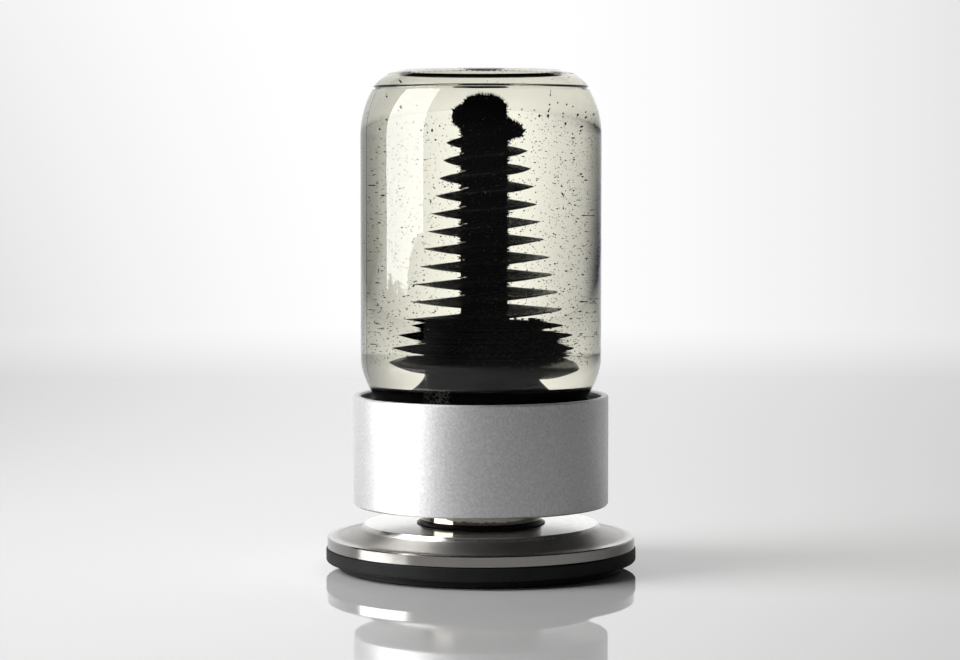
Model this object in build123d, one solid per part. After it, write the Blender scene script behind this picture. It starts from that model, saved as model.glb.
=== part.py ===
"""Magnetic desk sculpture: a sealed jar of clear liquid with a screw-shaped steel core that ferrofluid climbs.

The jar stands upside down on its lid in a turned aluminium housing. A ring magnet under the housing
magnetises the core. Housing, magnet and jar turn together on a ball bearing in a heavy steel foot.

Millimetres, +Z up. The origin is the centre of the foot's underside, on the turning axis.
Every sub-part is a body of its own, written to parts/NODE.step.
"""
from build123d import *
import os
from math import atan2, cos, sin

# --- driving dimensions -------------------------------------------------------------------------
# Foot
plate_radius = 48.0
plate_bottom = 6.45
plate_rim_top = 10.1
plateau_radius = 36.4
plateau_top = 14.0
plate_break = 0.35
pad_radius = 48.35
pad_tread_radius = 44.5
pad_tread_height = 2.4
pad_recess_radius = 10.5
pad_recess_floor = 3.5

# Ball bearing, 8 x 22 x 7
bearing_bottom = 7.45
bearing_width = 7.0
bearing_bore_radius = 4.0
bearing_outer_radius = 11.0
race_lip = 9.5
inner_shoulder_radius = 6.05
outer_shoulder_radius = 8.95
shield_seat_radius = 9.6
shield_seat_depth = 0.9
shield_thickness = 0.3
pitch_radius = 7.5
ball_radius = 1.984
race_groove_radius = 2.02
ball_count = 7

# Turning stack: spacer, dust ring, magnet, spindle
magnet_radius = 18.9
magnet_bottom = 15.0
magnet_top = 25.0
magnet_bore_radius = 4.1
magnet_break = 0.4
dust_ring_radius = 20.1
dust_ring_inner_radius = 12.5
dust_ring_clearance = 0.12
spindle_head_radius = 6.0
spindle_head_height = 1.85
spindle_thread_radius = 3.0
spindle_tip = 33.0

# Housing
housing_radius = 39.75
housing_bottom = 20.0
housing_top = 54.1
housing_bore_radius = 37.55
housing_web = 3.0
pocket_floor = 36.0
nut_recess_radius = 9.0
housing_break = 0.45

# Jar, upside down, and its lid
jar_radius = 37.5
jar_wall = 2.6
jar_lip = 38.5
jar_top = 155.0
neck_outer_radius = 30.2
neck_inner_radius = 27.7
lid_bottom = 37.2
lid_thickness = 0.4
lid_radius = 33.0
lid_height = 9.8
lug_count = 4

# Contents
pool_top = 59.2
core_radius = 4.0
core_thread_depth = 0.7
fin_pitch = 5.44
core_disc_radius = 11.6
core_disc_bottom = 62.6
core_disc_top = 75.6
core_top = 140.6
post_radius = 9.0
post_flange_radius = 15.0

# --- derived heights -----------------------------------------------------------------------------
bearing_top = bearing_bottom + bearing_width
ball_height = bearing_bottom + bearing_width / 2
web_top = magnet_top + housing_web
lid_inside = lid_bottom + lid_thickness


# --- shared shape helpers ------------------------------------------------------------------------
def outline(start, *steps):
    """A face in the (radius, height) plane. A step is the next corner, or a pair: a point that an
    arc passes through and the arc's end."""
    edges, here = [], start
    for step in (*steps, start):
        if isinstance(step[0], tuple):
            through, there = step
            edges.append(ThreePointArc(here, through, there))
        else:
            there = step
            if there != here:
                edges.append(Line(here, there))
        here = there
    return make_face(edges)


def crown(edge, apex_height):
    """An outline step from an edge point to the axis, along a circle that is centred on the axis."""
    radius, height = edge
    centre = (radius**2 + height**2 - apex_height**2) / (2 * (height - apex_height))
    sphere = abs(apex_height - centre)
    side = 1 if apex_height > centre else -1
    half = atan2(radius, side * (height - centre)) / 2
    return (sphere * sin(half), centre + side * sphere * cos(half)), (0, apex_height)


def turned(profile):
    """The solid that a (radius, height) face sweeps about the turning axis."""
    return revolve(Plane.XZ * profile, Axis.Z)


def band(inner, outer, low, high):
    """A rectangular (radius, height) face."""
    return outline((inner, low), (outer, low), (outer, high), (inner, high))


def ring(inner, outer, low, high):
    return turned(band(inner, outer, low, high))


def hexagon(across_flats, low, high):
    """A hexagonal bar, for nuts and key sockets."""
    flat = RegularPolygon(across_flats / 2, 6, major_radius=False)
    return extrude(Pos(0, 0, low) * flat, high - low)


def around(part, count, first_angle=0):
    """The part repeated evenly about the turning axis."""
    return [Rot(0, 0, first_angle + 360 * i / count) * part for i in range(count)]


# --- foot ----------------------------------------------------------------------------------------
def foot_pad():
    """Moulded rubber: a tread that meets the table, a wider step above it and a recess for the
    spindle's head."""
    edge = 0.7
    profile = outline(
        (0, 0),
        (pad_tread_radius - 0.3, 0),
        (pad_tread_radius, 0.3),
        (pad_tread_radius, pad_tread_height),
        (pad_radius - edge, pad_tread_height),
        ((pad_radius - edge * 0.293, pad_tread_height + edge * 0.293),
         (pad_radius, pad_tread_height + edge)),
        (pad_radius, plate_bottom - 0.2),
        (pad_radius - 0.2, plate_bottom),
        (pad_recess_radius, plate_bottom),
        (pad_recess_radius, pad_recess_floor),
        (0, pad_recess_floor),
    )
    return turned(profile)


def foot_plate():
    """Turned steel: a flat plateau, a short steep wall, a scooped slope and a plain rim, with the
    bearing's seat in the middle."""
    wall_foot = (plateau_radius + 1.0, plateau_top - 1.35)
    profile = outline(
        (race_lip, plate_bottom),
        (plate_radius - plate_break, plate_bottom),
        (plate_radius, plate_bottom + plate_break),
        (plate_radius, plate_rim_top - plate_break),
        (plate_radius - plate_break, plate_rim_top),
        ((plateau_radius + 5.2, plate_rim_top + 0.95), wall_foot),
        (plateau_radius, plateau_top),
        (bearing_outer_radius, plateau_top),
        (bearing_outer_radius, bearing_bottom),
        (race_lip, bearing_bottom),
    )
    return turned(profile)


def groove():
    """The round section that the balls run in, cut from both rings."""
    return Pos(pitch_radius, ball_height) * Circle(race_groove_radius)


def bearing_outer_ring():
    shoulder_low = bearing_bottom + shield_seat_depth
    shoulder_high = bearing_top - shield_seat_depth
    profile = outline(
        (shield_seat_radius, bearing_bottom),
        (bearing_outer_radius, bearing_bottom),
        (bearing_outer_radius, bearing_top),
        (shield_seat_radius, bearing_top),
        (shield_seat_radius, shoulder_high),
        (outer_shoulder_radius, shoulder_high),
        (outer_shoulder_radius, shoulder_low),
        (shield_seat_radius, shoulder_low),
    )
    return turned(profile - groove())


def bearing_shields():
    inner = inner_shoulder_radius + 0.3
    low = bearing_bottom + shield_seat_depth - shield_thickness
    high = bearing_top - shield_seat_depth
    return [ring(inner, shield_seat_radius, z, z + shield_thickness) for z in (low, high)]


def bearing_inner_ring():
    section = band(bearing_bore_radius, inner_shoulder_radius, bearing_bottom, bearing_top)
    return turned(section - groove())


def bearing_balls():
    return around(Pos(pitch_radius, 0, ball_height) * Sphere(ball_radius), ball_count)


def bearing_cage():
    """Crown cage: a ring that holds the balls from above in open pockets."""
    pocket = Pos(pitch_radius, 0, ball_height) * Sphere(ball_radius + 0.075)
    crown = ring(pitch_radius - 0.8, pitch_radius + 0.8, ball_height - 1.0, ball_height + 2.5)
    for cut in around(pocket, ball_count):
        crown -= cut
    return crown


# --- turning stack -------------------------------------------------------------------------------
def spindle():
    """Shoulder screw: the head holds the bearing's inner ring, the shoulder sets the stack's height
    and the thread takes the nut inside the housing."""
    head_bottom = bearing_bottom - spindle_head_height
    profile = outline(
        (0, head_bottom),
        (spindle_head_radius - 0.3, head_bottom),
        (spindle_head_radius, head_bottom + 0.3),
        (spindle_head_radius, bearing_bottom),
        (bearing_bore_radius, bearing_bottom),
        (bearing_bore_radius, magnet_top),
        (spindle_thread_radius, magnet_top),
        (spindle_thread_radius, spindle_tip - 0.6),
        (spindle_thread_radius - 0.6, spindle_tip),
        (0, spindle_tip),
    )
    return turned(profile) - hexagon(5.0, head_bottom, bearing_bottom - 0.3)


def hub_spacer():
    return ring(bearing_bore_radius, inner_shoulder_radius, bearing_top, magnet_bottom)


def dust_ring():
    """Black ring under the magnet, flared to just above the plateau to keep dust out."""
    low = plateau_top + dust_ring_clearance
    profile = outline(
        (dust_ring_inner_radius, low),
        (dust_ring_radius - 0.15, low),
        (dust_ring_radius, low + 0.12),
        (magnet_radius + 0.1, magnet_bottom),
        (dust_ring_inner_radius, magnet_bottom),
    )
    return turned(profile)


def ring_magnet():
    profile = outline(
        (magnet_bore_radius, magnet_bottom),
        (magnet_radius - magnet_break, magnet_bottom),
        (magnet_radius, magnet_bottom + magnet_break),
        (magnet_radius, magnet_top - magnet_break),
        (magnet_radius - magnet_break, magnet_top),
        (magnet_bore_radius, magnet_top),
    )
    return turned(profile)


def housing():
    """Turned cup: a pocket below for the magnet, a web for the spindle and a bore for the jar."""
    magnet_pocket = magnet_radius + 0.05
    profile = outline(
        (magnet_pocket, housing_bottom),
        (housing_radius - housing_break, housing_bottom),
        (housing_radius, housing_bottom + housing_break),
        (housing_radius, housing_top - housing_break),
        (housing_radius - housing_break, housing_top),
        (housing_bore_radius + housing_break, housing_top),
        (housing_bore_radius, housing_top - housing_break),
        (housing_bore_radius, pocket_floor),
        (nut_recess_radius, pocket_floor),
        (nut_recess_radius, web_top),
        (spindle_thread_radius + 0.2, web_top),
        (spindle_thread_radius + 0.2, magnet_top),
        (magnet_pocket, magnet_top),
    )
    return turned(profile)


def lock_washer():
    return ring(spindle_thread_radius + 0.2, 6.0, web_top, web_top + 1.2)


def spindle_nut():
    low = web_top + 1.2
    return hexagon(10.0, low, low + 3.2) - Pos(0, 0, low + 1.6) * Cylinder(spindle_thread_radius, 3.2)


# --- jar and lid ---------------------------------------------------------------------------------
def jar_outer_profile():
    """Outside of the jar from the lip at the bottom to the pushed-up base at the top."""
    rim_edge = 0.4
    base_rim = (22.4, jar_top)
    return outline(
        (0, jar_lip),
        (neck_outer_radius - rim_edge, jar_lip),
        (neck_outer_radius, jar_lip + rim_edge),
        (neck_outer_radius, 46.2),
        ((30.55, 48.6), (31.5, 50.4)),
        (34.35, 55.7),
        ((36.65, 60.5), (jar_radius, 66.2)),
        (jar_radius, 134.4),
        ((36.55, 142.0), (33.7, 149.1)),
        (33.35, 149.55),
        ((29.7, 152.8), (24.0, jar_top)),
        base_rim,
        crown(base_rim, 153.2),
    )


def cavity_profile():
    """Everything inside the jar, from the lid's inner face to the inside of the base."""
    wall_radius = jar_radius - jar_wall
    base_hollow = (18.5, 151.2)
    return outline(
        (0, lid_inside),
        (neck_inner_radius, lid_inside),
        (neck_inner_radius, 48.6),
        ((28.1, 50.6), (29.1, 52.4)),
        (31.75, 57.2),
        ((34.05, 61.6), (wall_radius, 67.0)),
        (wall_radius, 133.6),
        ((34.05, 141.0), (31.5, 147.0)),
        ((28.9, 150.1), (24.5, 151.2)),
        base_hollow,
        crown(base_hollow, 149.3),
    )


def glass_jar():
    """Round glass jar with short interrupted threads at its neck."""
    thread = revolve(
        Plane.XZ * outline((neck_outer_radius - 0.3, 41.0), (neck_outer_radius + 1.0, 41.8),
                           (neck_outer_radius + 1.0, 42.4), (neck_outer_radius - 0.3, 43.2)),
        Axis.Z, 50)
    body = turned(jar_outer_profile() - cavity_profile())
    for part in around(thread, lug_count):
        body += part
    return body


def jar_lid():
    """Pressed tinplate lid with a curled skirt and lugs that catch the jar's threads."""
    curl_low = lid_bottom + lid_height - 1.0
    curl_high = lid_bottom + lid_height
    inner = lid_radius - lid_thickness
    profile = outline(
        (2.6, lid_bottom),
        (lid_radius - 1.2, lid_bottom),
        ((lid_radius - 0.35, lid_bottom + 0.35), (lid_radius, lid_bottom + 1.2)),
        (lid_radius, curl_low),
        (lid_radius + 0.4, curl_low + 0.2),
        (lid_radius + 0.4, curl_high - 0.2),
        (lid_radius, curl_high),
        (inner, curl_high),
        (inner, lid_bottom + 1.2),
        ((inner - 0.235, lid_bottom + 0.635), (inner - 0.8, lid_inside)),
        (2.6, lid_inside),
    )
    lug = revolve(
        Plane.XZ * band(neck_outer_radius + 0.4, inner + 0.2, 43.4, 44.2), Axis.Z, 20)
    body = turned(profile)
    for part in around(lug, lug_count, first_angle=15):
        body += part
    return body


def lid_gasket():
    return ring(neck_inner_radius, neck_outer_radius + 0.4, lid_inside, jar_lip)


def jar_cushion():
    """Foam disc between the lid and the pocket's floor."""
    return ring(10.0, lid_radius - 1.3, pocket_floor, lid_bottom)


def centring_ring():
    """Black foam ring that centres the lid and the jar's shoulder in the bore."""
    return ring(lid_radius + 0.5, housing_bore_radius, pocket_floor, 52.6)


# --- sculpture -----------------------------------------------------------------------------------
def core_post():
    """Steel foot of the sculpture: a flange on the lid, tapped below for the fixing screw and above
    for the core's stud, with a groove for the seal."""
    seal_groove = band(5.0, 6.6, lid_inside, lid_inside + 1.3)
    profile = outline(
        (2.5, lid_inside),
        (post_flange_radius, lid_inside),
        (post_flange_radius, 41.0),
        (post_radius, 41.0),
        (post_radius, core_disc_bottom),
        (core_radius, core_disc_bottom),
        (core_radius, 50.5),
        (0, 50.5),
        (0, 47.0),
        (2.5, 47.0),
    )
    return turned(profile - seal_groove)


def core_seal():
    return Pos(0, 0, lid_inside + 0.65) * Torus(5.8, 0.65)


def core_fixing_screw():
    """Low-headed screw up through the lid into the post."""
    head_low, head_high = 34.2, 36.2
    profile = outline(
        (0, head_low),
        (2.2, head_low),
        ((3.9, head_low + 0.6), (4.75, head_high - 0.3)),
        (4.75, head_high),
        (2.5, head_high),
        (2.5, 46.0),
        (0, 46.0),
    )
    return turned(profile) - hexagon(3.0, head_low, head_low + 1.4)


def screw_washer():
    """Bonded sealing washer under the fixing screw's head."""
    return ring(2.6, 5.0, 36.2, lid_bottom)


def core_disc():
    edge = 0.8
    profile = outline(
        (core_radius, core_disc_bottom),
        (core_disc_radius - edge, core_disc_bottom),
        (core_disc_radius, core_disc_bottom + edge),
        (core_disc_radius, core_disc_top - edge),
        (core_disc_radius - edge, core_disc_top),
        (core_radius, core_disc_top),
    )
    return turned(profile)


def core_screw():
    """Steel tower with one helical ridge, on a plain stud through the disc into the post."""
    shank = turned(outline(
        (0, 50.5),
        (core_radius, 50.5),
        (core_radius, core_top - core_radius),
        crown((core_radius, core_top - core_radius), core_top),
    ))
    ridge_start = core_disc_top + 1.5
    ridge_height = core_top - core_radius - 2.0 - ridge_start
    path = Helix(fin_pitch, ridge_height, core_radius, center=(0, 0, ridge_start))
    crest = core_radius + core_thread_depth
    section = Plane.XZ * Polyline(
        (core_radius - 0.3, ridge_start - 0.8), (crest, ridge_start - 0.15),
        (crest, ridge_start + 0.15), (core_radius - 0.3, ridge_start + 0.8), close=True)
    ridge = sweep(make_face(section), path, is_frenet=True)
    return shank + ridge


def fin_reach(height):
    """How far from the axis the ferrofluid's fins stand at a height: wide below, narrow above."""
    return 8.7 + 0.175 * (132.5 - height)


def coat_outer_profile():
    """Ferrofluid's outside as it stands on the core: a skirt in the pool, a spiked band round the
    disc, a tower of thin fins and a blunt cap."""
    valley, waist = 5.3, 13.4
    corners = [
        (waist - 0.3, 61.8), (21.6, 64.0), (waist, 66.8), (20.8, 68.9), (waist, 70.9),
        (19.8, 73.0), (waist, 75.0),
    ]
    fins = 11
    for number in range(fins):
        tip = core_disc_top + 1.8 + fin_pitch * number
        corners += [(fin_reach(tip), tip), (valley + 0.4, tip + fin_pitch / 2)]
    cap_foot = core_disc_top + 1.8 + fin_pitch * fins
    corners += [
        (8.6, cap_foot), (valley, cap_foot + 1.6), (5.9, 140.6), (valley - 0.1, 142.4),
    ]
    return outline(
        (0, pool_top),
        (15.6, pool_top),
        ((13.9, 60.2), corners[0]),
        *corners[1:],
        crown(corners[-1], 143.9),
    )


def core_envelope():
    """The room that the ferrofluid leaves for the steel above the pool."""
    crest = core_radius + core_thread_depth + 0.05
    edge = 0.8
    return outline(
        (0, pool_top),
        (post_radius, pool_top),
        (post_radius, core_disc_bottom),
        (core_disc_radius - edge, core_disc_bottom),
        (core_disc_radius, core_disc_bottom + edge),
        (core_disc_radius, core_disc_top - edge),
        (core_disc_radius - edge, core_disc_top),
        (crest, core_disc_top),
        (crest, core_top - 1.0),
        (crest - 1.0, core_top),
        (0, core_top),
    )


def ferrofluid_coat():
    return turned(coat_outer_profile() - core_envelope())


def ferrofluid_pool():
    """Ferrofluid that has sunk to the neck and shoulder of the upturned jar."""
    below = band(0, jar_radius, lid_inside, pool_top)
    post = band(0, post_radius, lid_inside, pool_top) + band(0, post_flange_radius, lid_inside, 41.0)
    return turned((cavity_profile() & below) - post)


def suspension_liquid():
    above = band(0, jar_radius, pool_top, jar_top)
    return turned((cavity_profile() & above) - coat_outer_profile())


# --- writing -------------------------------------------------------------------------------------
nodes = {
    "foot_pad": foot_pad,
    "foot_plate": foot_plate,
    "bearing_outer_ring": bearing_outer_ring,
    "bearing_shields": bearing_shields,
    "bearing_cage": bearing_cage,
    "bearing_balls": bearing_balls,
    "bearing_inner_ring": bearing_inner_ring,
    "spindle": spindle,
    "hub_spacer": hub_spacer,
    "dust_ring": dust_ring,
    "ring_magnet": ring_magnet,
    "housing": housing,
    "lock_washer": lock_washer,
    "spindle_nut": spindle_nut,
    "jar_cushion": jar_cushion,
    "centring_ring": centring_ring,
    "jar_lid": jar_lid,
    "lid_gasket": lid_gasket,
    "glass_jar": glass_jar,
    "core_fixing_screw": core_fixing_screw,
    "screw_washer": screw_washer,
    "core_seal": core_seal,
    "core_post": core_post,
    "core_disc": core_disc,
    "core_screw": core_screw,
    "ferrofluid_coat": ferrofluid_coat,
    "ferrofluid_pool": ferrofluid_pool,
    "suspension_liquid": suspension_liquid,
}

os.makedirs("parts", exist_ok=True)
for node, make in nodes.items():
    made = make()
    shape = Compound(children=made) if isinstance(made, list) else made
    export_step(shape, f"parts/{node}.step")
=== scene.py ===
"""Looks of the magnetic desk sculpture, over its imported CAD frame.

The jar, its liquid, the ferrofluid tower, the pool and the stray droplets are modelled here, with
profiles and radii in mm. The other pieces are the CAD nodes with finishes of their own. Whatever
goes into a mesh or a material is in metres.
"""
import math
import random

import bmesh
import bpy
import numpy as np
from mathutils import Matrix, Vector, noise


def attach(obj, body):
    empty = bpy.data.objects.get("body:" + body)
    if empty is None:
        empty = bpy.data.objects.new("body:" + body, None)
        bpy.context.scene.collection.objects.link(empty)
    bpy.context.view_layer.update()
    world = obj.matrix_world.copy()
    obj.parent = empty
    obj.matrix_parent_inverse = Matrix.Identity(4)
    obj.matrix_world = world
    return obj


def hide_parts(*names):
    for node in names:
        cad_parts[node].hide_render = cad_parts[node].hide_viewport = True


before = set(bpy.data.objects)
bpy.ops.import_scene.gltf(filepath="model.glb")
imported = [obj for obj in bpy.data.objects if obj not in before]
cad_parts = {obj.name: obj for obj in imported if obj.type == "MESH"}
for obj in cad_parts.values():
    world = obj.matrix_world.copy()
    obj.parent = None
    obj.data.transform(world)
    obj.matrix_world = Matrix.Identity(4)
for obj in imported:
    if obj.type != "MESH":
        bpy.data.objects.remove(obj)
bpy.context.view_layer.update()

MM = 0.001
TAU = 2 * math.pi
WHITE = (1, 1, 1, 1)
scene = bpy.context.scene

# --- geometry helpers ---------------------------------------------------------------------------


def arc_points(a, through, b, gap):
    """Points on the circle arc from a through a point to b, without a itself."""
    (x1, y1), (x2, y2), (x3, y3) = a, through, b
    d = 2 * (x1 * (y2 - y3) + x2 * (y3 - y1) + x3 * (y1 - y2))
    s1, s2, s3 = x1 * x1 + y1 * y1, x2 * x2 + y2 * y2, x3 * x3 + y3 * y3
    cx = (s1 * (y2 - y3) + s2 * (y3 - y1) + s3 * (y1 - y2)) / d
    cy = (s1 * (x3 - x2) + s2 * (x1 - x3) + s3 * (x2 - x1)) / d
    radius = math.hypot(x1 - cx, y1 - cy)
    start = math.atan2(y1 - cy, x1 - cx)
    middle = (math.atan2(y2 - cy, x2 - cx) - start) % TAU
    sweep = (math.atan2(y3 - cy, x3 - cx) - start) % TAU
    if middle > sweep:
        sweep -= TAU
    count = max(2, int(abs(sweep) * radius / gap))
    return [
        (
            cx + radius * math.cos(start + sweep * i / count),
            cy + radius * math.sin(start + sweep * i / count),
        )
        for i in range(1, count + 1)
    ]


def outline(start, *steps, gap=0.4):
    """A profile in mm as (radius, height). A step is a corner, or (through, end) for an arc."""
    points = [start]
    for step in steps:
        if isinstance(step[0], tuple):
            points += arc_points(points[-1], step[0], step[1], gap)
        else:
            points.append(step)
    return points


def crown(edge, apex_height):
    """An arc centred on the axis, from edge to the axis, as a step."""
    r, z = edge
    rise = apex_height - z
    radius = (r * r + rise * rise) / (2 * rise)
    angle = math.asin(r / abs(radius)) / 2
    return (
        (
            abs(radius) * math.sin(angle),
            apex_height - radius + math.copysign(abs(radius) * math.cos(angle), rise),
        ),
        (0.0, apex_height),
    )


def mesh_object(name, verts, faces, slots, material_index=None):
    """A closed smooth mesh from points in metres, with doubled points joined and faces outwards."""
    mesh = bpy.data.meshes.new(name)
    mesh.from_pydata(np.asarray(verts, float).tolist(), [], faces)
    for material in slots:
        mesh.materials.append(material)
    if material_index is not None:
        mesh.polygons.foreach_set("material_index", np.asarray(material_index, np.int32))
    work = bmesh.new()
    work.from_mesh(mesh)
    bmesh.ops.remove_doubles(work, verts=work.verts, dist=2e-7)
    bmesh.ops.recalc_face_normals(work, faces=work.faces)
    for face in work.faces:
        face.smooth = True
    work.to_mesh(mesh)
    work.free()
    item = bpy.data.objects.new(name, mesh)
    scene.collection.objects.link(item)
    return item


def grid_faces(rows, columns, start=0):
    """Quads over a grid of points whose rows close on themselves."""
    faces = []
    for i in range(rows - 1):
        low, high = start + i * columns, start + (i + 1) * columns
        for j in range(columns):
            k = (j + 1) % columns
            faces.append((low + j, low + k, high + k, high + j))
    return faces


def turned_points(profile, segments, ripple=None):
    """The points of a turned profile, in metres. ripple(r, z, angles) moves them, in mm."""
    angles = np.arange(segments) * TAU / segments
    rows = []
    for r, z in profile:
        radii, heights = np.full(segments, float(r)), np.full(segments, float(z))
        if ripple:
            radii, heights = ripple(radii, heights, angles)
        rows.append(np.stack([radii * np.cos(angles), radii * np.sin(angles), heights], 1))
    return np.concatenate(rows) * MM


def spike(verts, faces, base, direction, length, radius, sides=4):
    """Adds one closed tapering spike, in mm."""
    direction = direction.normalized()
    across = direction.orthogonal().normalized()
    other = direction.cross(across)
    first = len(verts)
    for k in range(sides):
        turn = TAU * k / sides
        p = base + (across * math.cos(turn) + other * math.sin(turn)) * radius
        verts.append(tuple(p * MM))
    verts.append(tuple((base + direction * length) * MM))
    verts.append(tuple((base - direction * radius) * MM))
    for k in range(sides):
        n = (k + 1) % sides
        faces.append((first + k, first + n, first + sides))
        faces.append((first + n, first + k, first + sides + 1))


# --- finishes -----------------------------------------------------------------------------------


class Finish:
    """One material's nodes."""

    def __init__(self, name):
        self.material = bpy.data.materials.new(name)
        self.material.use_nodes = True
        self.tree = self.material.node_tree
        self.tree.nodes.clear()

    def add(self, kind, settings=None, **inputs):
        node = self.tree.nodes.new("ShaderNode" + kind)
        for key, value in (settings or {}).items():
            setattr(node, key, value)
        for key, value in inputs.items():
            socket = node.inputs[int(key[1:]) if key[0] == "_" else key.replace("_", " ")]
            if isinstance(value, bpy.types.NodeSocket):
                self.tree.links.new(value, socket)
            else:
                socket.default_value = value
        return node

    def maths(self, operation, a, b=0.0, clamp=False):
        return self.add(
            "Math", {"operation": operation, "use_clamp": clamp}, _0=a, _1=b
        ).outputs[0]

    def place(self):
        """Sockets: the point on the object, then its x, y, z and radius, in metres."""
        if not hasattr(self, "_place"):
            coordinates = self.add("TexCoord").outputs["Object"]
            split = self.add("SeparateXYZ", _0=coordinates)
            x, y, z = split.outputs
            radius = self.maths(
                "SQRT",
                self.maths("ADD", self.maths("MULTIPLY", x, x), self.maths("MULTIPLY", y, y)),
            )
            self._place = coordinates, x, y, z, radius
        return self._place

    def noise(self, scale, detail=3.0, vector=None, roughness=0.55):
        return self.add(
            "TexNoise",
            Vector=vector if vector is not None else self.place()[0],
            Scale=scale,
            Detail=detail,
            Roughness=roughness,
        ).outputs["Fac"]

    def span(self, value, low, high, start=0.3, end=0.7):
        """Maps start..end of a value to low..high, and holds it at those beyond."""
        return self.add(
            "MapRange", {"clamp": True}, Value=value,
            From_Min=start, From_Max=end, To_Min=low, To_Max=high,
        ).outputs[0]

    def blend(self, value, first, second, start=0.3, end=0.7):
        """Maps start..end of a value to a range of colour."""
        ramp = self.add("ValToRGB", Fac=value)
        ramp.color_ramp.elements[0].position = start
        ramp.color_ramp.elements[1].position = end
        ramp.color_ramp.elements[0].color = (*first, 1)
        ramp.color_ramp.elements[1].color = (*second, 1)
        return ramp.outputs[0]

    def bump(self, height, strength, distance, normal=None):
        inputs = dict(Strength=strength, Distance=distance, Height=height)
        if normal is not None:
            inputs["Normal"] = normal
        return self.add("Bump", **inputs).outputs[0]

    def turned_lines(self, pitch, along=4.0, detail=3.0):
        """Fine tool marks that run round the axis, pitch apart."""
        _, x, y, z, radius = self.place()
        angle = self.maths("ARCTAN2", y, x)
        vector = self.add(
            "CombineXYZ",
            X=self.maths("MULTIPLY", radius, 1 / pitch),
            Y=self.maths("MULTIPLY", z, 1 / pitch),
            Z=self.maths("MULTIPLY", self.maths("ABSOLUTE", angle), along),
        ).outputs[0]
        return self.noise(1.0, detail, vector)

    def pass_light(self, shader, tint):
        """The shader, but lamps shine straight through it with a tint."""
        shadow = self.add("LightPath").outputs["Is Shadow Ray"]
        through = self.add("BsdfTransparent", Color=tint)
        return self.add("MixShader", _0=shadow, _1=shader, _2=through.outputs[0]).outputs[0]

    def close(self, shader):
        output = self.add("OutputMaterial")
        self.tree.links.new(shader, output.inputs["Surface"])
        return self.material


def plain_finish(name, dark, light, rough, grain, bump=0.2, depth=0.00005, metallic=0.0):
    """A finish with mottled colour, uneven roughness and a fine grain."""
    f = Finish(name)
    broad = f.noise(grain / 6, 4.0)
    fine = f.noise(grain, 3.0)
    shader = f.add(
        "BsdfPrincipled",
        Base_Color=f.blend(broad, dark, light),
        Roughness=f.span(fine, rough[0], rough[1]),
        Metallic=metallic,
        Normal=f.bump(fine, bump, depth),
    )
    return f.close(shader.outputs[0])


def turned_metal(name, dark, light, rough, pitch, bump=0.15, depth=0.00002):
    """Metal with the marks of a lathe tool round the axis."""
    f = Finish(name)
    lines = f.turned_lines(pitch)
    broad = f.noise(120.0, 4.0)
    shader = f.add(
        "BsdfPrincipled",
        Base_Color=f.blend(broad, dark, light),
        Roughness=f.span(lines, rough[0], rough[1]),
        Metallic=1.0,
        Normal=f.bump(lines, bump, depth),
    )
    return f.close(shader.outputs[0])


def foot_steel():
    """Turned stainless steel, glossier on its flats than in its scoop."""
    f = Finish("foot_steel")
    _, _, _, z, radius = f.place()
    lines = f.turned_lines(0.00035, 3.0)
    fine = f.turned_lines(0.00009, 9.0, 2.0)
    scratches = f.noise(900.0, 4.0)
    broad = f.noise(60.0, 5.0)
    in_scoop = f.maths(
        "MULTIPLY",
        f.span(z, 0.0, 1.0, 0.0101, 0.0104),
        f.span(radius, 0.0, 1.0, 0.0366, 0.0376),
    )
    on_plateau = f.span(radius, 0.75, 0.0, 0.0366, 0.0376)
    flat = f.maths("ADD", f.maths("MULTIPLY", broad, 0.25), on_plateau)
    rough = f.maths("ADD", f.span(lines, 0.1, 0.19), f.maths("MULTIPLY", in_scoop, 0.3))
    rough = f.maths("ADD", rough, f.span(scratches, 0.0, 0.06, 0.45, 0.75))
    normal = f.bump(lines, 0.16, 0.00002)
    normal = f.bump(fine, 0.12, 0.00001, normal)
    normal = f.bump(scratches, 0.05, 0.00002, normal)
    shader = f.add(
        "BsdfPrincipled",
        Base_Color=f.blend(flat, (0.40, 0.385, 0.365), (0.74, 0.73, 0.71), 0.1, 0.9),
        Roughness=rough,
        Metallic=1.0,
        Anisotropic=f.maths("MULTIPLY", in_scoop, 0.9),
        Anisotropic_Rotation=0.25,
        Tangent=f.add("Tangent", {"direction_type": "RADIAL", "axis": "Z"}).outputs[0],
        Normal=normal,
    )
    return f.close(shader.outputs[0])


def foot_rubber():
    """Moulded black rubber with a fine grain and a little dust."""
    f = Finish("foot_rubber")
    grain = f.noise(2600.0, 2.0)
    broad = f.noise(140.0, 5.0)
    dust = f.noise(700.0, 6.0, roughness=0.8)
    colour = f.blend(broad, (0.005, 0.005, 0.0053), (0.010, 0.010, 0.0105))
    specks = f.span(dust, 0.0, 0.35, 0.66, 0.8)
    mixed = f.add("Mix", {"data_type": "RGBA"}, Factor=specks)
    f.tree.links.new(colour, mixed.inputs["A"])
    mixed.inputs["B"].default_value = (0.09, 0.088, 0.085, 1)
    mixed = next(s for s in mixed.outputs if s.type == "RGBA")
    normal = f.bump(grain, 0.35, 0.00008)
    normal = f.bump(broad, 0.1, 0.0002, normal)
    shader = f.add(
        "BsdfPrincipled",
        Base_Color=mixed,
        Roughness=f.span(grain, 0.5, 0.68),
        IOR=1.32,
        Normal=normal,
    )
    return f.close(shader.outputs[0])


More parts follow.
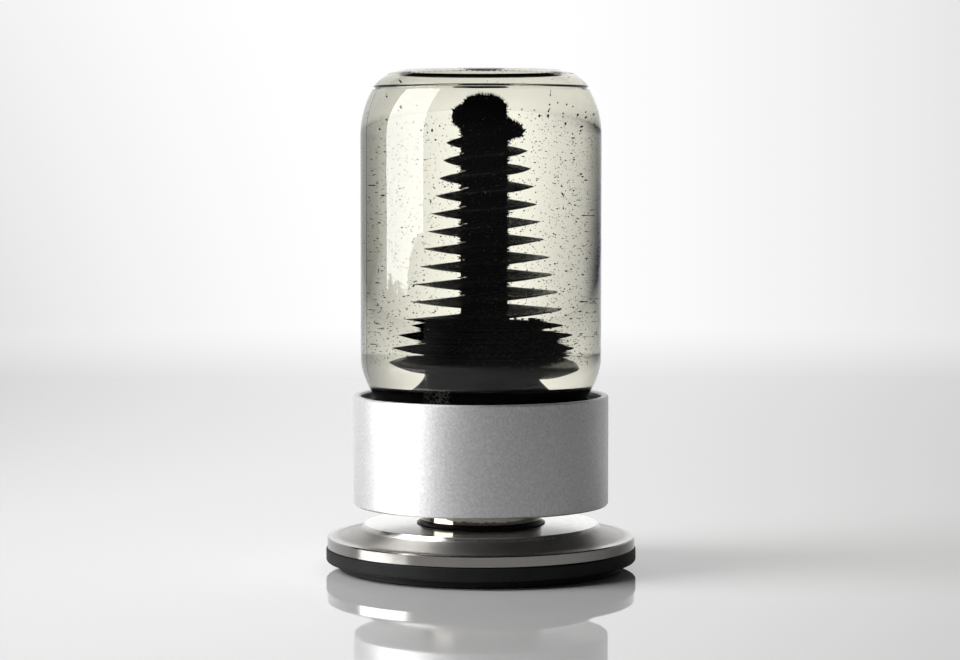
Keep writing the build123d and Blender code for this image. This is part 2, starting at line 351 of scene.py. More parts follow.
def housing_aluminium():
    """Bead-blasted and clear-anodised aluminium, with a sandy grain."""
    f = Finish("housing_aluminium")
    grain = f.noise(2400.0, 2.0)
    sand = f.noise(1300.0, 3.0, roughness=0.7)
    broad = f.noise(70.0, 3.0)
    colour = f.blend(sand, (0.64, 0.64, 0.645), (0.92, 0.92, 0.925), 0.25, 0.75)
    rough = f.maths("ADD", f.span(grain, 0.42, 0.50), f.span(broad, 0.0, 0.04))
    normal = f.bump(grain, 0.16, 0.00004)
    normal = f.bump(sand, 0.1, 0.00006, normal)
    shader = f.add(
        "BsdfPrincipled", Base_Color=colour, Roughness=rough, Metallic=1.0, Normal=normal
    )
    return f.close(shader.outputs[0])


def magnet_nickel():
    """Bright nickel plate, slightly uneven and with a few pits."""
    f = Finish("magnet_nickel")
    swell = f.noise(160.0, 3.0)
    pits = f.noise(1500.0, 3.0)
    colour = f.blend(swell, (0.40, 0.36, 0.31), (0.50, 0.46, 0.41))
    normal = f.bump(swell, 0.25, 0.00025)
    normal = f.bump(pits, 0.06, 0.00002, normal)
    shader = f.add(
        "BsdfPrincipled",
        Base_Color=colour,
        Roughness=f.span(pits, 0.05, 0.13, 0.45, 0.75),
        Metallic=1.0,
        Normal=normal,
    )
    return f.close(shader.outputs[0])


def jar_glass():
    """The jar's outer face: clear glass that lets lamps through, with slight waves and smears."""
    f = Finish("jar_glass")
    waves = f.noise(45.0, 2.0)
    smears = f.noise(170.0, 5.0)
    clear = f.add(
        "BsdfPrincipled",
        Base_Color=(0.985, 0.992, 0.985, 1),
        Roughness=f.span(smears, 0.0, 0.012, 0.5, 0.8),
        IOR=1.5,
        Specular_IOR_Level=0.42,
        Transmission_Weight=1.0,
        Normal=f.bump(waves, 0.06, 0.0012),
    )
    return f.close(f.pass_light(clear.outputs[0], (0.93, 0.95, 0.93, 1)))


def inner_face(name, first, second, ior):
    """A face where glass meets liquid, which bends light and hardly mirrors it."""
    f = Finish(name)
    cloud = f.noise(38.0, 4.0)
    tint = f.blend(cloud, first, second)
    bend = f.add("BsdfRefraction", Color=tint, Roughness=0.0, IOR=ior)
    return f.close(f.pass_light(bend.outputs[0], tint))


def fluid(name, rough, ior, scale, bump, depth):
    """Oily black ferrofluid with ripples and a finer grain."""
    f = Finish(name)
    ripples = f.noise(scale, 3.0)
    fine = f.noise(scale * 5, 3.0)
    normal = f.bump(ripples, bump, depth)
    normal = f.bump(fine, bump * 0.5, depth * 0.3, normal)
    shader = f.add(
        "BsdfPrincipled",
        Base_Color=f.blend(ripples, (0.0006, 0.0006, 0.00065), (0.0016, 0.0016, 0.0015)),
        Roughness=f.span(fine, rough[0], rough[1]),
        IOR=ior,
        Normal=normal,
    )
    return f.close(shader.outputs[0])


def dress(finish, *names):
    """Gives CAD nodes a finish."""
    for name in names:
        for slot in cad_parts[name].material_slots:
            slot.material = finish


dress(foot_steel(), "foot_plate")
dress(foot_rubber(), "foot_pad")
dress(housing_aluminium(), "housing")
dress(magnet_nickel(), "ring_magnet")
dress(
    plain_finish(
        "bearing_steel", (0.55, 0.54, 0.53), (0.66, 0.65, 0.64), (0.12, 0.24), 900.0, 0.05,
        metallic=1.0,
    ),
    "bearing_outer_ring", "bearing_inner_ring", "bearing_shields",
)
dress(
    plain_finish(
        "ball_steel", (0.68, 0.68, 0.69), (0.76, 0.76, 0.77), (0.03, 0.08), 500.0, 0.02,
        metallic=1.0,
    ),
    "bearing_balls",
)
dress(
    plain_finish("cage_polymer", (0.34, 0.24, 0.12), (0.42, 0.31, 0.17), (0.38, 0.55), 1200.0),
    "bearing_cage",
)
dress(
    turned_metal("fastener_steel", (0.47, 0.46, 0.45), (0.58, 0.57, 0.56), (0.2, 0.34), 0.00015),
    "spindle", "lock_washer", "spindle_nut", "core_fixing_screw", "screw_washer",
)
dress(
    turned_metal("spacer_brass", (0.66, 0.47, 0.20), (0.75, 0.56, 0.27), (0.18, 0.3), 0.0002),
    "hub_spacer",
)
dress(
    plain_finish(
        "black_polymer", (0.008, 0.008, 0.008), (0.016, 0.016, 0.017), (0.24, 0.4), 1600.0, 0.12
    ),
    "dust_ring",
)
dress(
    plain_finish(
        "black_foam", (0.004, 0.004, 0.004), (0.014, 0.014, 0.014), (0.8, 0.95), 2200.0, 0.7, 0.0002
    ),
    "jar_cushion", "centring_ring",
)
dress(
    plain_finish(
        "lid_enamel", (0.010, 0.010, 0.011), (0.017, 0.017, 0.018), (0.22, 0.34), 800.0, 0.08
    ),
    "jar_lid",
)
dress(
    plain_finish("gasket_compound", (0.42, 0.40, 0.36), (0.52, 0.50, 0.45), (0.55, 0.7), 900.0),
    "lid_gasket",
)
dress(
    plain_finish("seal_rubber", (0.012, 0.012, 0.012), (0.022, 0.022, 0.022), (0.5, 0.65), 1500.0),
    "core_seal",
)
dress(
    turned_metal("core_steel", (0.30, 0.29, 0.28), (0.40, 0.39, 0.38), (0.3, 0.45), 0.0003),
    "core_post", "core_disc", "core_screw",
)

# --- the jar ------------------------------------------------------------------------------------
# The outer wall runs from the lip up the side, past the heel groove, to the standing ring and the
# recessed base. The cavity ends in two shallow rings moulded in the base.
outer_wall = outline(
    (28.6, 38.5), (29.6, 38.5), ((30.05, 38.7), (30.2, 39.3)), (30.2, 46.2),
    ((30.55, 48.6), (31.5, 50.4)), (34.35, 55.7), ((36.65, 60.5), (37.5, 66.2)),
    (37.5, 80.0), (37.5, 100.0), (37.5, 120.0), (37.5, 134.4),
    ((36.55, 142.0), (33.9, 148.7)), (33.0, 149.1), (32.9, 149.35), (33.45, 149.8),
    ((30.4, 152.7), (24.0, 155.0)), (23.2, 155.0), (22.4, 154.9), crown((22.4, 154.9), 153.2),
    gap=0.35,
)
cavity = outline(
    (27.7, 48.6), ((28.1, 50.6), (29.1, 52.4)), (31.75, 57.2), ((34.05, 61.6), (34.9, 67.0)),
    (34.9, 90.0), (34.9, 112.0), (34.9, 133.6), ((34.05, 141.0), (31.9, 146.4)),
    (31.0, 148.3), ((29.4, 150.0), (26.6, 150.5)), (24.6, 150.5), (23.9, 150.1), (23.2, 150.5),
    (17.4, 150.4), (16.4, 149.7), (15.4, 150.1), crown((15.4, 150.1), 149.2),
    gap=0.35,
)
LIP = (27.7, 38.9)
KNURLS = 96
JAR_SEGMENTS = 576


def knurl(radii, heights, angles):
    """Moulded bumps on the jar's standing ring and heel, and the faint seam of its mould."""
    on_ring = np.clip(1 - np.abs(radii - 24.2) / 1.5, 0, 1) * (heights > 152)
    ribs = np.maximum(0.0, np.cos(KNURLS * angles)) ** 2
    on_heel = np.clip(1 - np.abs(radii - 28.6) / 0.9, 0, 1) * (heights > 150)
    dashes = np.maximum(0.0, np.cos(KNURLS * angles + 0.9)) ** 2
    seam = np.exp(-((np.sin(angles - 0.35) * radii / 0.35) ** 2)) * (radii > 25) * 0.05
    radii = radii + seam + on_heel * dashes * 0.1
    return radii, heights - 0.16 * on_ring * (1 - ribs) + 0.1 * on_heel * dashes


inner_wall = [LIP] + cavity
jar = mesh_object(
    "jar",
    np.concatenate([
        turned_points(outer_wall[::-1], JAR_SEGMENTS, knurl),
        turned_points(inner_wall, JAR_SEGMENTS),
    ]),
    grid_faces(len(outer_wall) + len(inner_wall), JAR_SEGMENTS),
    [jar_glass(), inner_face("jar_glass_inside", (1.0, 1.0, 1.0), (0.995, 0.998, 0.996), 1.5)],
    [0] * (len(outer_wall) * JAR_SEGMENTS) + [1] * ((len(inner_wall) - 1) * JAR_SEGMENTS),
)
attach(jar, "turntable")
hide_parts("glass_jar")

# --- the liquid ---------------------------------------------------------------------------------
POOL_TOP = 57.9
INTO_GLASS = 0.03  # the contents reach this far into the glass, so no gap shows
LIQUID_SEGMENTS = 240
side_wall = [p for p in cavity if p[1] < 148]


def cavity_radius(z):
    """The cavity's radius at a height on its side wall, in mm."""
    return float(np.interp(z, [p[1] for p in side_wall], [p[0] for p in side_wall]))


liquid_foot = POOL_TOP - 0.5
liquid_profile = [(0.0, liquid_foot), (cavity_radius(liquid_foot) + INTO_GLASS, liquid_foot)]
for (r, z), (r0, z0) in zip(cavity[1:], cavity[:-1]):
    if z <= POOL_TOP - 0.4 and r < 33:
        continue
    along = Vector((r - r0, z - z0)).normalized()
    grown = max(0.0, r + along.y * INTO_GLASS) if r > 0 else 0.0
    liquid_profile.append((grown, z - along.x * INTO_GLASS))
liquid = mesh_object(
    "suspension", turned_points(liquid_profile, LIQUID_SEGMENTS),
    grid_faces(len(liquid_profile), LIQUID_SEGMENTS),
    [inner_face("clear_liquid", (0.950, 0.936, 0.868), (0.958, 0.945, 0.880), 1.36)],
)
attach(liquid, "turntable")
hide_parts("suspension_liquid")

# --- the pool -----------------------------------------------------------------------------------
POOL_FOOT, NECK_TOP = 39.2, 48.6
POOL_SEGMENTS = 200
neck_radius = LIP[0] + INTO_GLASS
pool_rows = [(0.0, POOL_FOOT), (neck_radius, POOL_FOOT), (neck_radius, NECK_TOP)]
pool_rows += [(r + INTO_GLASS, z) for r, z in cavity[1:] if z < POOL_TOP]
edge = cavity_radius(POOL_TOP + 0.5) + INTO_GLASS
meniscus = (0.0, 0.5), (0.25, 0.3), (0.8, 0.06), (1.6, 0.0)
pool_rows += [(edge - inwards, POOL_TOP + rise) for inwards, rise in meniscus]
pool_rows += [(r, POOL_TOP) for r in np.linspace(edge - 2.2, 0, 34)]


def pool_waves(radii, heights, angles):
    """Gentle waves on the pool's surface, away from its meniscus."""
    if heights[0] < POOL_TOP - 0.01 or radii[0] > edge - 1.0:
        return radii, heights
    lift = [
        0.22 * noise.noise(Vector((r * math.cos(a) * 0.22, r * math.sin(a) * 0.22, 3.0)))
        + 0.08 * noise.noise(Vector((r * math.cos(a) * 0.9, r * math.sin(a) * 0.9, 7.0)))
        for r, a in zip(radii, angles)
    ]
    return radii, heights + np.array(lift)


def pool_fluid():
    """Still ferrofluid with a patch of small bubbles against the glass, whose rims are lightened
    grey as a painted highlight.
    """
    f = Finish("pool_fluid")
    coordinates, x, y, _, _ = f.place()
    ripples = f.noise(260.0, 3.0)
    ragged = f.noise(420.0, 3.0)
    cells = f.add("TexVoronoi", {"feature": "DISTANCE_TO_EDGE"}, Vector=coordinates, Scale=780.0)
    rims = f.span(cells.outputs[0], 1.0, 0.0, 0.02, 0.16)
    aside = f.maths("ABSOLUTE", f.maths("ADD", x, 0.0125))
    at_front = f.span(y, 1.0, 0.0, -0.024, -0.02)
    patch = f.maths("MULTIPLY", f.span(aside, 1.0, 0.0, 0.002, 0.0075), at_front)
    patch = f.span(f.maths("MULTIPLY", patch, ragged), 0.0, 1.0, 0.25, 0.5)
    # The bubbles' rims are painted grey as a highlight on the black fluid, and the same mask also
    # bumps them.
    bubbles_and_painted_glint = f.maths("MULTIPLY", rims, patch)
    shader = f.add(
        "BsdfPrincipled",
        Base_Color=f.blend(bubbles_and_painted_glint, (0.001, 0.001, 0.001), (0.075, 0.073, 0.07), 0.0, 1.0),
        Roughness=f.span(ripples, 0.05, 0.16),
        IOR=1.3,
        Normal=f.bump(ripples, 0.2, 0.0002, f.bump(bubbles_and_painted_glint, 0.5, 0.0003)),
    )
    return f.close(shader.outputs[0])


pool = mesh_object(
    "pool", turned_points(pool_rows, POOL_SEGMENTS, pool_waves),
    grid_faces(len(pool_rows), POOL_SEGMENTS), [pool_fluid()],
)
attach(pool, "turntable")
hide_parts("ferrofluid_pool")

# --- the ferrofluid tower -----------------------------------------------------------------------
tower_verts, tower_faces = [], []


def add_grid(points, columns):
    """Adds a grid of points in metres to the tower."""
    start = len(tower_verts)
    tower_verts.extend(points.tolist())
    tower_faces.extend(grid_faces(len(points) // columns, columns, start))


def outwards(angle, radius, z):
    """The point at an angle, radius and height."""
    return Vector((radius * math.cos(angle), radius * math.sin(angle), z))


def wobble(angle, z, scale, seed):
    """Smooth noise that closes on itself round the axis."""
    return noise.noise(Vector((math.cos(angle) * scale, math.sin(angle) * scale, z * 0.31 + seed)))


# The lower part: a skirt that rises from the pool, a wide body and four uneven ring fins.
AROUND = 480
SKIRT_RADIUS, SKIRT_FOOT, SKIRT_TOP = 12.9, 60.2, 62.3
theta = np.arange(AROUND) * TAU / AROUND
right = np.cos(theta)
jitter = np.array([wobble(a, 0.0, 2.3, 5.0) for a in theta])
fine_jitter = np.array([wobble(a, 9.0, 11.0, 2.0) for a in theta])
body = 13.2 + 0.9 * right + 0.35 * jitter


def fused(count, shift, seed):
    """0 at the tips of count spikes round the ring, up to 1 in the notches between them."""
    phase = count * theta / 2 + shift + 1.1 * np.array([wobble(a, seed, 3.1, 1.0) for a in theta])
    return 1 - np.abs(np.cos(phase)) ** 1.6


rows = []


def row(radius, height):
    """Adds one ring of points. Radius and height are numbers or arrays over theta, in mm."""
    radius = np.broadcast_to(radius, theta.shape)
    height = np.broadcast_to(height, theta.shape)
    rows.append(np.stack([radius * np.cos(theta), radius * np.sin(theta), height], 1))


def ring_fin(roots, root_radii, tip, bulges, notch, ridge, count, seed):
    """One ring fin: rows out along its lower face to the tip and back along its upper face.

    roots, root_radii and bulges are (lower face, upper face), and tip is (radius, height).
    """
    cut = fused(count, seed, seed)
    tip_r = tip[0] - notch * cut + 0.35 * fine_jitter
    tip_z = tip[1] + 0.3 * jitter
    out, back = np.linspace(0, 1, 11), np.linspace(1, 0, 12)[1:]
    for side, steps, ridge_share in ((0, out, 0.6), (1, back, -1.0)):
        for s in steps:
            furrow = ridge * cut * math.sin(math.pi * s) * ridge_share
            row(
                root_radii[side] + (tip_r - root_radii[side]) * s,
                tip_z + (roots[side] - tip_z) * (1 - s ** bulges[side]) + furrow,
            )


row(0.0, 57.3)
row(18.6 + 0.5 * jitter, 57.4)
row(17.5 + 0.5 * jitter, 59.0)
for s in np.linspace(0, 1, 14):
    flare = (3.3 + 0.5 * jitter) * (1 - s) ** 1.5
    row(SKIRT_RADIUS + flare + 0.05 * fine_jitter, SKIRT_FOOT + (SKIRT_TOP - SKIRT_FOOT) * s)
ring_fin(
    (62.2 - 0.45 * right, 66.4 - 0.2 * right), (13.0, body + 0.9),
    (21.9 + 0.75 * right, 63.8 - 0.5 * right), (2.0, 2.8), 0.45, 0.05, 46, 1.0,
)
ring_fin(
    (67.2, 70.5), (body + 0.7, body),
    (20.9 + 0.5 * right, 68.9), (1.5, 1.25), 1.3, 0.25, 58, 2.0,
)
ring_fin(
    (71.3, 74.5), (body, body - 0.3),
    (20.1 + 1.05 * right, 73.0), (1.5, 1.2), 1.1, 0.25, 54, 3.0,
)
ring_fin(
    (75.0, 77.4), (body - 0.4, body - 1.2),
    (17.5 + 1.45 * right, 76.05), (1.4, 1.2), 1.0, 0.2, 50, 4.0,
)
row(body - 3.0, 77.7)
row(6.4, 78.0)
row(5.4, 79.2)
row(0.0, 79.2)
add_grid(np.concatenate(rows) * MM, AROUND)

# The column and its rounded cap.
COLUMN_RADIUS, COLUMN_FOOT, CAP_FOOT = 5.3, 76.0, 134.0
COLUMN_SEGMENTS = 96
column_rows = [(0.0, COLUMN_FOOT)]
column_rows += [(COLUMN_RADIUS, z) for z in np.linspace(COLUMN_FOOT, CAP_FOOT, 110)]
column_rows += outline(
    (COLUMN_RADIUS, CAP_FOOT), (5.2, 135.8), ((4.75, 136.7), (4.6, 137.5)),
    ((5.0, 138.9), (4.95, 140.4)), ((4.5, 141.8), (2.6, 142.6)), crown((2.6, 142.6), 142.75),
)


def column_skin(radii, heights, angles):
    """Uneven bumps all over the column and the cap."""
    if radii[0] == 0:
        return radii, heights
    bumps = np.array([
        0.28 * wobble(a, h * 1.6, 1.7, 4.0) + 0.16 * wobble(a, h * 4.2, 5.0, 8.0)
        for a, h in zip(angles, heights)
    ])
    return radii + bumps, heights


add_grid(turned_points(column_rows, COLUMN_SEGMENTS, column_skin), COLUMN_SEGMENTS)

# The helical fin, which ends in two blunt lobes under the cap.
PITCH = 5.44
FIN_START, FIN_TOP, FIN_ROOT = 80.8, 132.7, 4.4
FACE_STEPS = 9
# The lobes by turn: their reach, how far they rise, and half their thickness.
LOBES = (
    (9.6, 8.8, 0.0, 1.2), (9.8, 8.9, 0.25, 1.5), (10.0, 9.2, 0.47, 1.7),
    (10.15, 8.3, 0.6, 1.7), (10.28, 6.2, 0.7, 1.6), (10.4, 7.0, 0.8, 1.75),
    (10.5, 7.3, 0.85, 1.85), (10.62, 7.0, 0.95, 1.8), (10.78, 5.4, 1.0, 1.4),
    (10.9, 4.6, 1.0, 0.9),
)
LOBE_TURNS, LOBE_REACH, LOBE_RISE, LOBE_HALF = zip(*LOBES)


def clamp(value):
    return max(0.0, min(1.0, value))


def fin_section(turn):
    """The fin at one turn of the screw: a closed ring of points in mm as (radius, height)."""
    angle = TAU * turn
    centre = FIN_START + PITCH * turn
    depth = FIN_TOP - centre
    high = clamp((centre - 110) / 16)
    spread = 0.3 + 0.7 * clamp((centre - 112) / 16)
    cut = 1 - abs(math.cos(21 * angle + 1.3 * wobble(angle, centre, 2.7, 6.0))) ** 1.6
    reach = 8.75 + 0.15 * depth + 0.00045 * depth * depth + 0.28 * math.cos(angle)
    reach += 0.5 * high * max(0.0, math.cos(angle))
    reach += 0.45 * wobble(angle, centre * 1.3, 3.7, 3.0) - (0.42 + 0.3 * spread) * cut
    half = 1.28 + 0.0072 * max(0.0, depth)
    if turn < -0.5:
        reach = 12.0 + (reach - 12.0) * clamp((turn + 0.85) / 0.3)
    blunt = clamp((turn - 9.62) / 0.18)
    if blunt:
        centre += float(np.interp(turn, LOBE_TURNS, LOBE_RISE))
        wide = float(np.interp(turn, LOBE_TURNS, LOBE_REACH))
        wide += 0.3 * wobble(angle, centre, 6.0, 9.0)
        reach += (wide - reach) * blunt
        half += (float(np.interp(turn, LOBE_TURNS, LOBE_HALF)) - half) * blunt
    ridge = 0.16 * cut * (1 - blunt)
    points = []

    def add_point(k, power, side, ridge_share):
        s = k / FACE_STEPS
        sharp, bluff = 1 - s ** power, (1 - s ** 4) ** 0.5
        rise = side * half * (sharp + (bluff - sharp) * blunt)
        points.append((
            FIN_ROOT + (reach - FIN_ROOT) * s,
            centre + rise - side * ridge * math.sin(math.pi * s) * ridge_share,
        ))

    for k in range(FACE_STEPS + 1):
        add_point(k, 1.7 + 1.5 * high, -1, 1.0)
    for k in range(FACE_STEPS - 1, -1, -1):
        add_point(k, 1.15 + 1.1 * high, 1, 1.5)
    return angle, points


turns = np.arange(-0.85, 10.9, 1 / 300)
fin_rows = []
for turn in turns:
    angle, points = fin_section(turn)
    fin_rows += [(r * math.cos(angle), r * math.sin(angle), z) for r, z in points]
sides = len(points)
first_point, first_fin_face = len(tower_verts), len(tower_faces)
add_grid(np.array(fin_rows) * MM, sides)
last_section = first_point + (len(turns) - 1) * sides
tower_faces.append(tuple(first_point + k for k in range(sides))[::-1])
tower_faces.append(tuple(last_section + k for k in range(sides)))
fin_faces = range(first_fin_face, len(tower_faces))

# Fur of tiny spikes on the cap and the lobes, teeth between the fins, and bristles on the right of
# the wide part.
fur = random.Random(5)


def add_spike(base, out, length, thickness):
    spike(tower_verts, tower_faces, base, out, fur.uniform(*length), fur.uniform(*thickness))


def add_bristle(angle, z, radius, tilt, length, thickness):
    """A spike that points away from the axis, tilted up or down within a range."""
    out = outwards(angle, 1.0, fur.uniform(*tilt))
    add_spike(outwards(angle, radius, z), out, length, thickness)


for _ in range(560):
    angle, z = fur.uniform(0, TAU), fur.uniform(137.8, 143.8)
    if z < 141.4:
        base = outwards(angle, 4.75, z)
        out = outwards(angle, 1.0, fur.uniform(-0.3, 0.4) + max(0, (z - 140.8) * 0.4))
    else:
        r = 4.4 * math.sqrt(fur.random())
        base = outwards(angle, r, 142.7 - 0.012 * r ** 3)
        out = outwards(angle, r * 0.24, 1.0)
    add_spike(base, out, (0.65, 1.15), (0.16, 0.25))
for _ in range(620):
    angle, points = fin_section(fur.uniform(9.66, 10.8))
    k = fur.randrange(3, len(points) - 3)
    (r, z), (rn, zn) = points[k], points[k + 1]
    normal = Vector((zn - z, r - rn)).normalized()
    out = outwards(angle, normal.x, normal.y)
    out += Vector((fur.uniform(-0.3, 0.3), fur.uniform(-0.3, 0.3), fur.uniform(-0.3, 0.3)))
    add_spike(outwards(angle, r - 0.1, z), out, (0.5, 0.95), (0.18, 0.3))
for _ in range(700):
    turn = fur.uniform(-0.3, 9.6)
    z = FIN_START + PITCH * turn + PITCH / 2 + fur.uniform(-1.1, 1.1)
    add_bristle(TAU * turn, z, 5.1, (-0.5, 0.5), (0.5, 1.3), (0.25, 0.45))
for _ in range(150):
    angle, z = fur.gauss(0.0, 0.5), fur.uniform(66.4, 74.2)
    add_bristle(angle, z, 13.6, (-0.05, 0.03), (3.2, 6.6), (0.35, 0.6))
for _ in range(90):
    angle, z = fur.gauss(0.0, 0.3), fur.uniform(65.8, 70.6)
    add_bristle(angle, z, 15.4, (-0.06, 0.02), (3.6, 6.4), (0.3, 0.5))
for _ in range(320):
    angle = fur.uniform(0, TAU)
    z = fur.choice((70.9, 74.7, 77.6)) + fur.uniform(-0.4, 0.4)
    add_bristle(angle, z, 12.6, (-0.2, 0.2), (0.8, 2.6), (0.3, 0.5))

# The column stands slightly to the right of the wide part below it.
COLUMN_ASIDE = 0.7 * MM
tower_verts = [
    (x + COLUMN_ASIDE * clamp((z / MM - COLUMN_FOOT) / 4), y, z) for x, y, z in tower_verts
]
tower = mesh_object(
    "tower", tower_verts, tower_faces,
    [
        fluid("tower_fluid", (0.4, 0.6), 1.03, 800.0, 0.4, 0.00012),
        fluid("skirt_fluid", (0.12, 0.26), 1.19, 300.0, 0.12, 0.0001),
        fluid("fin_fluid", (0.08, 0.28), 1.33, 900.0, 0.8, 0.0002),
    ],
)
for face in tower.data.polygons:
    x, y, z = face.center / MM
    if z < 66.2:
        face.material_index = 1
    elif face.index in fin_faces and math.hypot(x, y) > 6.0 and z < 132.0:
        face.material_index = 2
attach(tower, "turntable")
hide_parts("ferrofluid_coat")

# --- stray droplets -----------------------------------------------------------------------------
# Eight-sided specks, more of them on the right than on the left.
DROPLETS = 6200
drops = random.Random(23)
drop_verts, drop_faces = [], []
while len(drop_faces) < DROPLETS * 8:
    z = 64.5 + 76.0 * drops.random() ** 1.2
    angle = drops.uniform(0, TAU)
    if drops.random() > 0.74 + 0.26 * math.cos(angle):
        continue
    limit = cavity_radius(z) - 0.35
    r = limit - abs(drops.gauss(0, 4.0))
    size = 0.115 + 0.12 * drops.random() ** 4
    p = outwards(angle, r, z)
    first = len(drop_verts)
    stretch = drops.uniform(0.8, 1.5)
    corners = (1, 0, 0), (0, 1, 0), (-1, 0, 0), (0, -1, 0), (0, 0, stretch), (0, 0, -stretch)
    drop_verts.extend(tuple((p + Vector(corner) * size) * MM) for corner in corners)
    for a in range(4):
        b = (a + 1) % 4
        drop_faces.append((first + a, first + b, first + 4))
        drop_faces.append((first + b, first + a, first + 5))
droplets = mesh_object(
    "stray_droplets", drop_verts, drop_faces,
    [fluid("droplet_fluid", (0.3, 0.5), 1.3, 900.0, 0.1, 0.00005)],
)
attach(droplets, "turntable")

# --- camera -------------------------------------------------------------------------------------
view = bpy.data.cameras.new("camera")
view.lens = 102.45
view.sensor_width = 36.0
view.clip_start = 0.01
camera = bpy.data.objects.new("camera", view)
camera.location = (-0.0003, -0.850, 0.1264)
camera.rotation_euler = (math.radians(90 - 3.51), 0, 0)
scene.collection.objects.link(camera)
scene.camera = camera

# --- floor, backdrop and light ------------------------------------------------------------------


def staged(name, points, material):
    """A flat polygon of the studio, which isn't part of the object."""
    mesh = bpy.data.meshes.new(name)
    mesh.from_pydata(points, [], [tuple(range(len(points)))])
    mesh.materials.append(material)
    item = bpy.data.objects.new(name, mesh)
    scene.collection.objects.link(item)
    return item


def backdrop_glow(f, x, z):
    """The paper backdrop's light: brightest behind the sculpture, falling off to both sides."""
    leftwards = f.maths("MULTIPLY", x, -1.0)
    off = f.maths("MULTIPLY", f.maths("ADD", x, 0.06), 1 / 0.83)
    glow = f.maths("DIVIDE", 1.022, f.maths("ADD", f.maths("MULTIPLY", off, off), 1.0))
    left_part = f.maths("MAXIMUM", f.maths("SUBTRACT", leftwards, 0.05), 0.0)
    low_part = f.maths("MULTIPLY", f.maths("SUBTRACT", 0.25, z), 4.0, True)
    low_left = f.maths("MULTIPLY", left_part, low_part)
    glow = f.maths("SUBTRACT", glow, f.maths("MULTIPLY", low_left, 0.35))
    return f.maths("ADD", glow, f.span(leftwards, 0.0, 0.24, 0.45, 0.9))


# Glossy white acrylic. Its far end takes the backdrop's light, so that the horizon is soft, and
# behind the sculpture it gives a little light of its own, which isn't seen directly.
f = Finish("floor_acrylic")
_, x, y, z, _ = f.place()
facing = f.add("LayerWeight", Blend=0.5).outputs["Facing"]
mirror = f.maths("MULTIPLY", f.maths("POWER", facing, 4.0), 0.80)
dull = f.add("BsdfDiffuse", Color=(0.78, 0.78, 0.78, 1))
gloss = f.add("BsdfGlossy", Color=WHITE, Roughness=0.025)
surface = f.add("MixShader", _0=mirror, _1=dull.outputs[0], _2=gloss.outputs[0]).outputs[0]
indirect = f.maths("SUBTRACT", 1.0, f.add("LightPath").outputs["Is Camera Ray"])
behind = f.span(y, 0.0, 0.28, 0.08, 0.4)
lift = f.add("Emission", Strength=f.maths("MULTIPLY", indirect, behind))
surface = f.add("AddShader", _0=surface, _1=lift.outputs[0]).outputs[0]
far = f.add("Emission", Strength=backdrop_glow(f, x, z)).outputs[0]
far_end = f.span(y, 0.0, 1.0, 0.75, 1.26)
f.close(f.add("MixShader", _0=far_end, _1=surface, _2=far).outputs[0])
FLOOR_Z, NEAR, FAR, SIDE = -0.0002, -3.0, 1.28, 3.2
staged(
    "floor",
    [(-SIDE, NEAR, FLOOR_Z), (SIDE, NEAR, FLOOR_Z), (SIDE, FAR, FLOOR_Z), (-SIDE, FAR, FLOOR_Z)],
    f.material,
)

f = Finish("backdrop_light")
_, x, _, z, _ = f.place()
glow = backdrop_glow(f, x, z)
direct = f.add("LightPath").outputs["Is Camera Ray"]
glow = f.maths("MULTIPLY", glow, f.maths("SUBTRACT", 1.15, f.maths("MULTIPLY", direct, 0.15)))
f.close(f.add("Emission", Color=WHITE, Strength=glow).outputs[0])
WIDE, BEHIND, LOW, HIGH = 3.0, 1.3, -0.03, 1.15
staged(
    "backdrop",
    [(-WIDE, BEHIND, LOW), (WIDE, BEHIND, LOW), (WIDE, BEHIND, HIGH), (-WIDE, BEHIND, HIGH)],
    f.material,
)

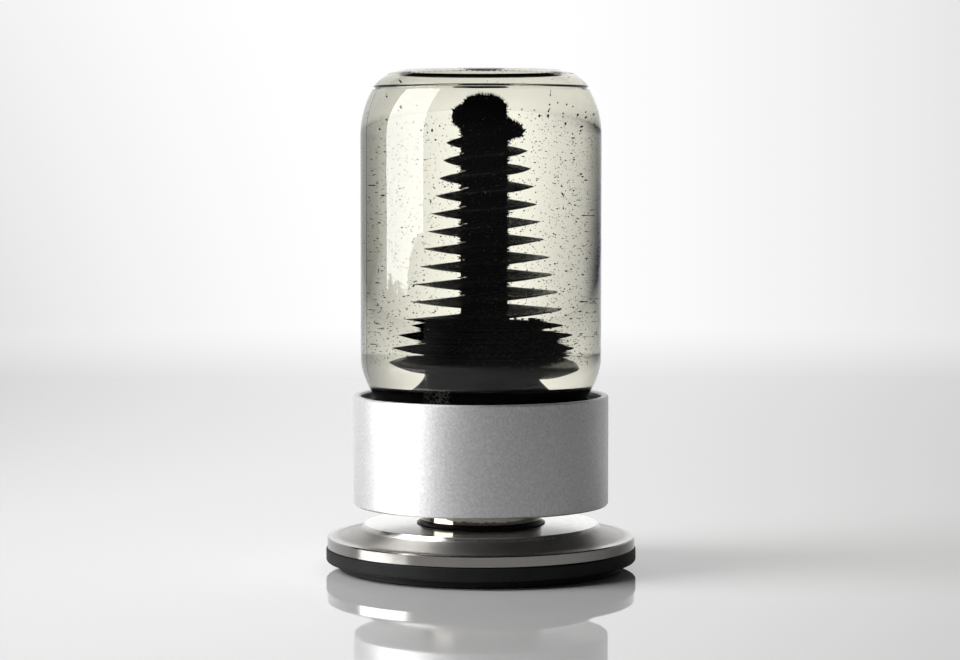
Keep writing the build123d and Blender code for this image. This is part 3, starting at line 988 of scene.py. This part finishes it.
# The softbox on the left, with a ragged lower edge that is higher at its front.
SOFTBOX_DISTANCE, SOFTBOX_HALF_WIDTH = 0.65, 0.262
f = Finish("softbox_light")
_, _, y, z, _ = f.place()
tear = f.add("CombineXYZ", X=f.maths("MULTIPLY", y, 9.0), Y=0.0, Z=f.maths("MULTIPLY", z, 110.0))
ragged = f.maths("SUBTRACT", f.noise(1.0, 4.0, tear.outputs[0]), 0.5)
edge_height = f.maths("ADD", z, f.maths("MULTIPLY", ragged, 0.05))
edge_height = f.maths("SUBTRACT", edge_height, f.span(y, 0.026, 0.0, -0.28, -0.2))
above_edge = f.span(edge_height, 0.0, 1.0, 0.058, 0.064)
strength = f.maths("MULTIPLY", above_edge, f.span(y, 6.4, 7.0, -0.45, 0.1))
f.close(f.add("Emission", Color=WHITE, Strength=strength).outputs[0])
turn = math.radians(-76.5)
centre = Vector((math.sin(turn), -math.cos(turn), 0)) * SOFTBOX_DISTANCE
side = Vector((math.cos(turn), math.sin(turn), 0)) * SOFTBOX_HALF_WIDTH
foot, top = Vector((0, 0, 0.03)), Vector((0, 0, 1.2))
softbox = staged(
    "softbox",
    [tuple(centre + p) for p in (foot - side, foot + side, top + side, top - side)],
    f.material,
)
softbox.visible_camera = False

# The room: dim, and dimmer overhead. The camera sees it as a light wall above the backdrop.
world = bpy.data.worlds.new("studio")
world.use_nodes = True
scene.world = world
tree = world.node_tree
tree.nodes.clear()
direction = tree.nodes.new("ShaderNodeTexCoord").outputs["Generated"]
split = tree.nodes.new("ShaderNodeSeparateXYZ")
tree.links.new(direction, split.inputs[0])
fall = tree.nodes.new("ShaderNodeMapRange")
tree.links.new(split.outputs["Z"], fall.inputs["Value"])
for name, value in (("From Min", 0.0), ("From Max", 0.75), ("To Min", 0.08), ("To Max", 0.02)):
    fall.inputs[name].default_value = value
path = tree.nodes.new("ShaderNodeLightPath")
seen = tree.nodes.new("ShaderNodeMix")
tree.links.new(path.outputs["Is Camera Ray"], seen.inputs["Factor"])
tree.links.new(fall.outputs[0], seen.inputs["A"])
seen.inputs["B"].default_value = 0.9
ground = tree.nodes.new("ShaderNodeBackground")
tree.links.new(seen.outputs[0], ground.inputs["Strength"])
ground.inputs["Color"].default_value = WHITE
output = tree.nodes.new("ShaderNodeOutputWorld")
tree.links.new(ground.outputs[0], output.inputs[0])

scene.view_settings.view_transform = "Standard"
scene.view_settings.look = "None"
